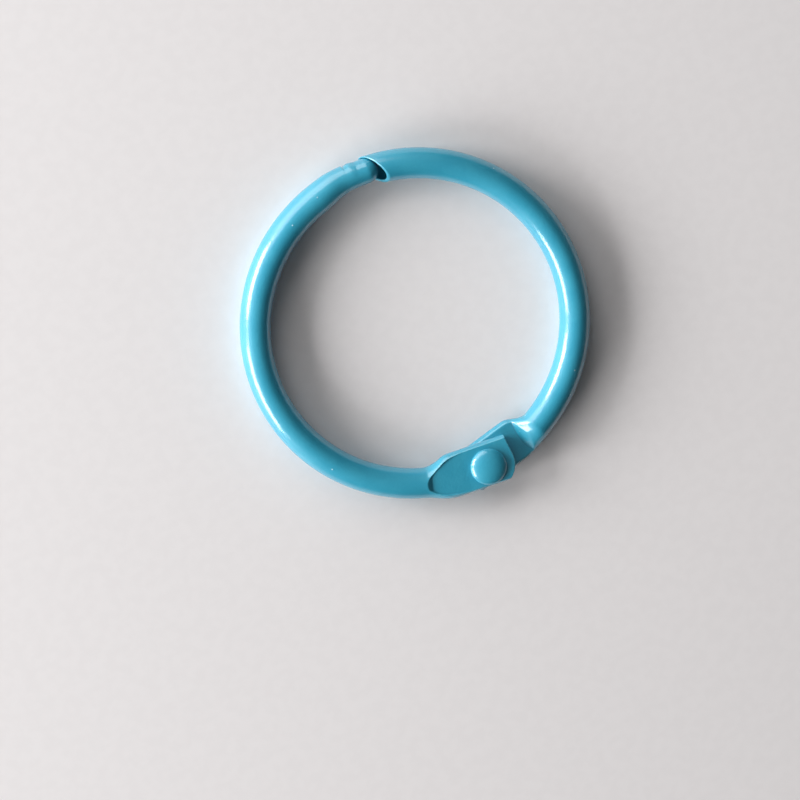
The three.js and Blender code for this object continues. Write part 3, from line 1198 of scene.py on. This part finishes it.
@dataclass
class TongueHalf(RingHalf):
    """The half whose leaf is on top and whose free end is a necked, round-nosed tongue.

    Attributes:
        socket_clearance: Between the tongue and that wall.
        eccentricity: The tongue's axis lies this far outwards of the tube's.
        length: From the nose to the step.
        taper: From the step back to the full tube, on the inner side.
        step_run: Length of the notch's steep side, on the outer side of the step.
        notch_depth: Depth of the notch.
        notch_floor: Its floor reaches this far past the step.
        notch_end: It has risen back this far past the step.
        notch_spread: The notch fades from the outer side as this power of (1 + cosine of the angle) / 2.
        ease: From the step each way to where the outer side is wholly tube or neck.
        shoulder_drop: By which the outer side has already sunk where the step begins.
        shoulder_share: It begins to sink this share of the taper before the step.
        neck_swell: By which the neck stands out between the step and the other half's lip.
        neck_start: Where that swelling begins to go, past the step.
        neck_end: Where it has gone, from the nose.
        nose_reach: How far the nose passes the mouth's azimuth.
        vent_diameter: The hole that swaging leaves at the nose's tip.
        vent_round: Rounding of that hole's edge.
        vent_film: The share of enamel at the near and the far end of the hole.
        plan: The spacing of its rows.
    """

    socket_clearance: float = 0.03
    eccentricity: float = 0.08
    length: float = 2.85
    taper: float = 3.0
    step_run: float = 0.08
    notch_depth: float = 0.11
    notch_floor: float = 0.02
    notch_end: float = 0.50
    notch_spread: float = 16.0
    ease: float = 0.25
    shoulder_drop: float = 0.12
    shoulder_share: float = 0.6
    neck_swell: float = 0.11
    neck_start: float = 0.4
    neck_end: float = 1.75
    nose_reach: float = 0.1
    vent_diameter: float = 0.5
    vent_round: float = 0.08
    vent_film: Span = (0.9, 0.2)
    plan: TonguePlan = field(default_factory=TonguePlan)

    def __post_init__(self) -> None:
        """Works out where the tongue begins and ends."""
        super().__post_init__()
        self.nose = self.path.at_azimuth(self.mouth_azimuth) + self.nose_reach
        self.step_at = self.nose - self.length
        self.taper_end = self.step_at - self.taper
        self.tongue_radius = self.tube.radius - self.mouth_wall - self.socket_clearance - self.eccentricity

    @property
    def seam_stop(self) -> float:
        """Where the seam's groove has run out: as the taper begins."""
        return self.taper_end

    def section(self, distance: Array) -> tuple[Array, Array]:
        """The outside of this half: the pinched tube, drawn in towards the tongue.

        Its size is multiplied by a share that falls to the tongue's radius over the tube's: slowly on the
        inner side, later and by way of a swelling neck on the outer side, and between them by the square
        of c = (1 + cosine of the angle) / 2. A notch, steep on the tube's side, is taken off it, times a
        power of c, and the middle moves outwards.

        Args:
            distance: Before the pivot, as rows by columns or as a column.

        Returns:
            The distance outwards and the height, rows by columns.
        """
        radius = self.tube.radius
        tapered = smooth_share(distance, self.taper_end, self.step_at)
        sunk = smooth_share(distance, self.step_at - self.shoulder_share * self.taper, self.step_at)
        past = smooth_share(distance, self.step_at - self.ease, self.step_at + self.ease)
        gone = smooth_share(distance, self.step_at + self.neck_start, self.nose - self.neck_end)
        shoulder = radius - self.shoulder_drop * sunk
        neck = self.tongue_radius + self.neck_swell * (1.0 - gone)
        inner = lerp(radius, self.tongue_radius, tapered)
        outwards = (1.0 + np.cos(self.angle)) / 2.0
        stepped = smooth_share(distance, self.step_at - self.step_run, self.step_at)
        risen = smooth_share(distance, self.step_at + self.notch_floor, self.step_at + self.notch_end)
        notch = self.notch_depth * stepped * (1.0 - risen) * outwards**self.notch_spread
        scale = (lerp(inner, lerp(shoulder, neck, past), outwards**2) - notch) / radius
        out, height = self.pinched(distance)
        return out * scale + self.eccentricity * tapered, height * scale

    def add_free_end(self, rows: Rows) -> None:
        """Adds the tube, the taper and step, the tongue, its round nose, and the vent into the bore.

        The nose is half a ball: at an angle a from its tip, the radius is r sin a and the distance is
        r (1 - cos a) short of the tip.

        Args:
            rows: The rows to add to.
        """
        plan, radius, vent = self.plan, self.tongue_radius, self.vent_diameter / 2.0
        before = self.step_at - self.step_run - plan.notch_margin
        after = self.step_at + plan.notch_margin
        self.add_stretch(rows, plan.pinch_end, self.taper_end, plan.tube_step)
        self.add_stretch(rows, self.taper_end, before, plan.taper_step)
        self.add_stretch(rows, before, after, plan.notch_step)
        self.add_stretch(rows, after, self.nose - radius, plan.neck_step)

        def add_round(distance: Array, size: Array | float, film: Array | float = 1.0) -> None:
            """Adds round rows of some radius about the tongue's axis."""
            rows.add(distance, size * np.cos(self.angle) + self.eccentricity, size * np.sin(self.angle), film)

        lip = vent + self.vent_round
        lean = column(np.linspace(np.pi / 2.0, np.arcsin(lip / radius), plan.nose_rows)[1:])
        add_round(self.nose - radius * (1.0 - np.cos(lean)), radius * np.sin(lean))
        tip = self.nose - radius * (1.0 - np.cos(lean[-1, 0]))
        turn = column(np.linspace(0.0, np.pi / 2.0, plan.corner_rows)[1:])
        add_round(tip - self.vent_round * (1.0 - np.cos(turn)), lip - self.vent_round * np.sin(turn))
        mouth, back = tip - self.vent_round - plan.vent_lead, self.nose - radius
        film = column(np.linspace(*self.vent_film, plan.vent_rows))
        add_round(column(np.linspace(mouth, back, plan.vent_rows)), vent, film)
        self.add_bore(rows, back - plan.bore_lead)


@dataclass(frozen=True)
class SocketPlan(RowPlan):
    """The spacing of the socket half's rows.

    Attributes:
        mouth_rows: Rows from where they stand square to the axis to the mouth's slanted lip.
        lip_rows: Rows round the lip.
        socket_rows: Rows along the socket.
        funnel: Length over which the socket narrows to the bore.
        funnel_shares: How far the rows in the middle of it have narrowed.
    """

    mouth_rows: int = 28
    lip_rows: int = 12
    socket_rows: int = 22
    funnel: float = 0.1
    funnel_shares: Span = (1.0 / 3.0, 2.0 / 3.0)


@dataclass
class SocketHalf(RingHalf):
    """The half whose leaf is underneath and whose free end is the open, slanted mouth.

    Attributes:
        set_back: How far the mouth's cut crosses the axis towards the tongue.
        slant_in: Slope of the cut across the ring's plane, in degrees: the outer lip reaches furthest.
        slant_up: Slope of the cut from below to above, in degrees: the lower lip reaches furthest.
        depth: Of the opened-out bore behind the mouth.
        blend: From the mouth's azimuth back to where the rows stand square to the axis.
        spray_start: From the lip inwards to where the enamel begins to thin, below zero as that is outside.
        spray_reach: How far the enamel goes into the socket.
        inner_lip: By which the wall is thicker on the inner side.
        search: The mouth's cut is looked for this far each way from the mouth.
        halvings: How often that stretch is halved.
        plan: The spacing of its rows.
    """

    set_back: float = 0.4
    slant_in: float = 28.0
    slant_up: float = 30.0
    depth: float = 2.6
    blend: float = 3.0
    spray_start: float = -0.6
    spray_reach: float = 3.5
    inner_lip: float = 0.14
    search: float = 4.0
    halvings: int = 30
    plan: SocketPlan = field(default_factory=SocketPlan)

    def __post_init__(self) -> None:
        """Works out the place and slope of the mouth's cut, in the frame that the half is built in."""
        super().__post_init__()
        self.mouth = self.path.at_azimuth(180.0 - self.mouth_azimuth)
        self.square = self.mouth - self.blend
        heading = np.interp(self.mouth, self.path.distance, self.path.heading)
        along = np.array([np.cos(heading), np.sin(heading), 0.0])
        inward = np.array([-along[1], along[0], 0.0])
        self.cut_centre = self.path.place(np.array(self.mouth + self.set_back), 0.0, 0.0)
        self.cut_away = (
            -along
            + np.tan(np.radians(self.slant_in)) * inward
            - np.tan(np.radians(self.slant_up)) * np.array([0.0, 0.0, 1.0])
        )

    @property
    def seam_stop(self) -> float:
        """Where the seam's groove has run out: where the rows begin to slant."""
        return self.square

    def cut_distance(self, radius: Array) -> Array:
        """Where the lines at a radius round the axis meet the mouth's cut.

        The signed distance from the cut's plane rises steadily along each line, so its zero is found by
        halving a stretch many times, on all the lines together.

        Args:
            radius: As a column, or one number.

        Returns:
            The distances, rows by columns.
        """
        out, height = radius * np.cos(self.angle), radius * np.sin(self.angle)
        low = np.full_like(out + np.zeros(self.sides), self.mouth - self.search)
        high = low + 2.0 * self.search
        for _ in range(self.halvings):
            middle = (low + high) / 2.0
            beyond = (self.path.place(middle, out, height) - self.cut_centre) @ self.cut_away > 0.0
            high = np.where(beyond, middle, high)
            low = np.where(beyond, low, middle)
        return low

    def add_free_end(self, rows: Rows) -> None:
        """Adds the tube, the slanted mouth with its rounded lip, the socket inside it, and the bore.

        The wall is thicker on the inner side by a share (1 - cosine of the angle) / 2 of the inner lip.
        The lip is half a circle across the wall: at an angle a from the outside, the radius is the wall's
        middle plus half the wall times cos a, and it reaches half the wall times sin a further.

        Args:
            rows: The rows to add to.
        """
        plan, radius = self.plan, self.tube.radius
        cos, sin = np.cos(self.angle), np.sin(self.angle)
        inside = radius - self.mouth_wall - self.inner_lip * (1.0 - cos) / 2.0
        half_wall = (radius - inside) / 2.0
        self.add_stretch(rows, plan.pinch_end, self.square, plan.tube_step)
        edge = self.cut_distance(radius) - half_wall
        t = column(np.linspace(0.0, 1.0, plan.mouth_rows)[1:])
        rows.add(lerp(self.square, edge, t), radius * cos, radius * sin)
        turn = column(np.linspace(0.0, np.pi, plan.lip_rows)[1:-1])
        wall = inside + half_wall + half_wall * np.cos(turn)
        reach = self.cut_distance(wall) - half_wall + half_wall * np.sin(turn)
        rows.add(reach, wall * cos, wall * sin)
        floor = self.mouth - self.depth
        inner = self.cut_distance(inside) - half_wall
        t = column(np.linspace(0.0, 1.0, plan.socket_rows))
        wall_distance = lerp(inner, floor, t)
        film = 1.0 - share(inner.min() - wall_distance, self.spray_start, self.spray_reach)
        rows.add(wall_distance, inside * cos, inside * sin, film)
        ring = lerp(inside, self.tube.bore_radius, column(plan.funnel_shares))
        rows.add(floor - plan.funnel / 2.0, ring * cos, ring * sin, 0.0)
        self.add_bore(rows, floor - plan.funnel)


@dataclass(frozen=True)
class RivetPlan:
    """The rows of the rivet's profile.

    Attributes:
        pole_radius: Radius of the first row, round the middle of the tail.
        tail_rows: Rows on the tail's end.
        edge_rows: Rows round a rounded edge.
        under_rows: Rows on the tail's upper face.
        shank_rows: Rows along the shank, its ends included.
        base_rows: Rows under the head.
        dome_rows: Rows over the dome.
        dome_stop: How far round the dome they go, in degrees.
    """

    pole_radius: float = 0.1
    tail_rows: int = 12
    edge_rows: int = 8
    under_rows: int = 8
    shank_rows: int = 12
    base_rows: int = 10
    dome_rows: int = 44
    dome_stop: float = 86.0


@dataclass
class HingeRivet(Piece):
    """The rivet: a low domed head with a round edge, a shank through both leaves, and a flat formed tail.

    Attributes:
        sides: Points round each row.
        plan: The rows of its profile.
    """

    sides: int = 144
    plan: RivetPlan = field(default_factory=RivetPlan)

    def profile(self) -> tuple[Array, Array]:
        """The outline that is turned: tail, shank, and a head whose dome is half an ellipse.

        Returns:
            The radius and the height of each row, from the middle of the tail to the top of the dome.
        """
        rivet, plan, middle = self.rivet, self.plan, self.tube.radius
        far = self.leaf.near + 2.0 * self.tube.sheet + rivet.head_clearance
        base, under = middle + far, middle - far
        shank, tail = rivet.shank_diameter / 2.0, rivet.tail_diameter / 2.0
        head, soft, small = rivet.head_diameter / 2.0, rivet.tail_round, rivet.edge_round
        quarter = np.linspace(0.0, np.pi / 2.0, plan.edge_rows)
        flat = np.linspace(plan.pole_radius, tail - soft, plan.tail_rows)[:-1]
        ledge = np.linspace(tail - small, shank, plan.under_rows)[1:]
        stem = np.linspace(under, base, plan.shank_rows)[1:-1]
        seat = np.linspace(shank, head - small, plan.base_rows)
        rise = np.linspace(0.0, np.radians(plan.dome_stop), plan.dome_rows)
        dome = rivet.head_height - rivet.head_side
        parts = [
            (flat, np.zeros_like(flat)),
            (tail - soft + soft * np.sin(quarter), soft - soft * np.cos(quarter)),
            (tail - small + small * np.cos(quarter), under - small + small * np.sin(quarter)),
            (ledge, np.full_like(ledge, under)),
            (np.full_like(stem, shank), stem),
            (seat, np.full_like(seat, base)),
            (head - small + small * np.sin(quarter[1:]), base + small - small * np.cos(quarter[1:])),
            (head * np.cos(rise), base + rivet.head_side + dome * np.sin(rise)),
        ]
        return np.concatenate([p[0] for p in parts]), np.concatenate([p[1] for p in parts])

    def build(self) -> bpy.types.Object:
        """Builds the rivet: its profile carried round the hinge's axis, radius times cosine and sine.

        Returns:
            The new object.
        """
        radius, height = self.profile()
        angle = 2.0 * np.pi * np.arange(self.sides) / self.sides
        x = column(radius) * np.cos(angle)
        y = column(radius) * np.sin(angle) - self.tube.ring_radius
        z = column(height) + np.zeros_like(x)
        points = np.stack([x, y, z], axis=-1)
        return skin_mesh(self.name, Skin(points, np.ones_like(x), FirstRow.POLE))


# ---- The studio ------------------------------------------------------------------------------------


def direction(azimuth: float, elevation: float) -> Array:
    """The unit vector towards an azimuth round the ring and an elevation, both in degrees."""
    a, e = np.radians(azimuth), np.radians(elevation)
    return np.array([np.cos(a) * np.cos(e), np.sin(a) * np.cos(e), np.sin(e)])


def set_up(obj: bpy.types.Object, right: Array, up: Array, back: Array, spot: Array) -> None:
    """Stands a light or the camera up.

    Args:
        obj: The object.
        right: Where its own x is to point.
        up: Where its own y is to point.
        back: Where its own z is to point, away from what it faces.
        spot: Its place in metres.
    """
    matrix = np.eye(4)
    matrix[:3, :3] = np.stack([right, up, back], axis=1)
    matrix[:3, 3] = spot
    obj.matrix_world = Matrix(matrix.tolist())


@dataclass(frozen=True)
class SoftLight:
    """A soft light, placed by directions from the ring.

    Attributes:
        name: Its name.
        azimuth: The direction to it round the ring, in degrees from +X.
        elevation: Its middle's height above the floor, in degrees.
        away: Its distance in metres.
        width: Its width in metres.
        height: Its height in metres.
        power: In watts.
        colour: Its tint.
    """

    name: str
    azimuth: float
    elevation: float
    away: float
    width: float
    height: float
    power: float
    colour: tuple[float, float, float] = (1.0, 0.995, 0.985)

    def build(self) -> None:
        """Puts the light up, facing the ring."""
        back = direction(self.azimuth, self.elevation)
        side = direction(self.azimuth + 90.0, 0.0)
        data = bpy.data.lights.new(self.name, "AREA")
        data.shape = "RECTANGLE"
        data.size, data.size_y = self.width, self.height
        data.energy, data.color = self.power, self.colour
        set_up(new_object(self.name, data), side, np.cross(back, side), back, back * self.away)


@dataclass(frozen=True)
class Studio:
    """The floor, the lights and the camera.

    Attributes:
        tilt: Degrees between the camera's axis and the ring's.
        tilt_azimuth: The direction of that tilt round the ring, in degrees.
        roll: The direction in which the tilt shows in the image, in degrees.
        away: The camera's distance in millimetres.
        shift_right: How far the view's middle is from the ring's, to the right.
        shift_up: The same, upwards.
        lens: Focal length in millimetres.
        sensor: Width of the camera's sensor in millimetres.
        clip: The nearest and the furthest that it sees, in metres.
        floor_half: Half the floor's width, in metres.
        floor_points: Points along each side of the floor.
        sky: The colour of the light all round.
        sky_azimuth: Where the sky is brightest, in degrees from +X.
        sky_elevation: The same, above the floor.
        sky_edge: Cosine of the angle from there beyond which it is at its dimmest.
        sky_dim: Its strength on the dark side.
        sky_bright: Its strength where it is brightest.
        lights: The soft lights.
    """

    tilt: float = 13.4
    tilt_azimuth: float = 107.0
    roll: float = 134.3
    away: float = 303.6
    shift_right: float = -1.40
    shift_up: float = -6.57
    lens: float = 157.5
    sensor: float = 36.0
    clip: Span = (0.01, 10.0)
    floor_half: float = 0.5
    floor_points: int = 9
    sky: Colour = (1.0, 0.99, 0.985, 1.0)
    sky_azimuth: float = 150.0
    sky_elevation: float = 38.0
    sky_edge: float = -0.2
    sky_dim: float = 0.03
    sky_bright: float = 0.18
    lights: tuple[SoftLight, ...] = (
        SoftLight("window", 142.0, 19.0, 0.60, 0.30, 0.24, 4.0),
        SoftLight("left_window", 185.0, 19.0, 0.60, 0.36, 0.24, 3.2),
        SoftLight("back_window", 97.0, 24.0, 0.60, 0.56, 0.52, 2.3),
    )

    def build(self) -> None:
        """Builds the floor, the sky, the lights and the camera."""
        self.lay_floor()
        self.light_sky()
        bpy.context.scene.view_settings.view_transform = "Standard"
        for light in self.lights:
            light.build()
        self.aim_camera()

    def light_sky(self) -> None:
        """Makes the light all round, which brightens smoothly towards one side of the room.

        Its strength goes from dim to bright with the cosine of the angle from the brightest direction.
        """
        world = bpy.data.worlds.new("studio")
        world.use_nodes = True
        board = NodeBoard(world.node_tree)
        cosine = board.add("VectorMath", {"operation": "DOT_PRODUCT"})
        board.join(cosine.inputs[0], board.add("TexCoord").outputs["Generated"])
        board.join(cosine.inputs[1], direction(self.sky_azimuth, self.sky_elevation).tolist())
        strength = board.span(cosine.outputs["Value"], self.sky_edge, 1.0, self.sky_dim, self.sky_bright)
        board.feed(world.node_tree.nodes["Background"], Color=self.sky, Strength=strength)
        bpy.context.scene.world = world

    def lay_floor(self) -> None:
        """Lays a plain pale floor a metre across."""
        side = self.floor_points
        grid = np.linspace(-self.floor_half, self.floor_half, side)
        x, y = np.meshgrid(grid, grid)
        points = np.stack([x, y, np.zeros_like(x)], axis=-1).reshape(-1, 3)
        number = np.arange(side * side).reshape(side, side)
        quads = np.stack([number[:-1, :-1], number[:-1, 1:], number[1:, 1:], number[1:, :-1]], axis=-1)
        mesh = bpy.data.meshes.new("floor")
        mesh.from_pydata(points.tolist(), [], quads.reshape(-1, 4).tolist())
        mesh.materials.append(Paper().material("floor_paper"))
        floor = new_object("floor", mesh)

    def aim_camera(self) -> None:
        """Places the camera.

        Its back axis c is the ring's axis n turned by the tilt towards e, the level direction at the
        tilt's azimuth: c = cos t n + sin t e. In the plane square to c, u = cos t e - sin t n and
        w = n x e are turned by the roll r to right = cos r u - sin r w and up = sin r u + cos r w.
        """
        tilt, azimuth, roll = (np.radians(v) for v in (self.tilt, self.tilt_azimuth, self.roll))
        n = np.array([0.0, 0.0, 1.0])
        e = np.array([np.cos(azimuth), np.sin(azimuth), 0.0])
        w = np.cross(n, e)
        back = np.cos(tilt) * n + np.sin(tilt) * e
        u = np.cos(tilt) * e - np.sin(tilt) * n
        right = np.cos(roll) * u - np.sin(roll) * w
        up = np.sin(roll) * u + np.cos(roll) * w
        centre = np.array([0.0, 0.0, Tube().radius])
        spot = centre + self.shift_right * right + self.shift_up * up + self.away * back
        data = bpy.data.cameras.new("camera")
        data.lens, data.sensor_width = self.lens, self.sensor
        data.clip_start, data.clip_end = self.clip
        camera = new_object("camera", data)
        set_up(camera, right, up, back, spot * METRES)
        bpy.context.scene.camera = camera


# ---- The whole -------------------------------------------------------------------------------------


def main() -> None:
    """Builds the pieces in order, reports each, and sets the studio up round them."""
    logging.basicConfig(level=logging.INFO, format="%(message)s")
    enamel, over = Enamel(), Lay.TURNED_OVER
    assemblies = (
        SocketHalf("socket_half_skin", "socket_half", "socket_side", "enamel_halves", enamel, lay=over),
        TongueHalf("tongue_half_skin", "tongue_half", "tongue_side", "enamel_halves", enamel),
        HingeRivet("hinge_rivet_skin", "hinge_rivet", "socket_side", "enamel_rivet", enamel),
    )
    for assembly in assemblies:
        piece = assembly.build()
        assembly.dress(piece)
        log.info("%s: %d points, %d faces", piece.name, len(piece.data.vertices), len(piece.data.polygons))
    Studio().build()


if __name__ == "__main__":
    main()
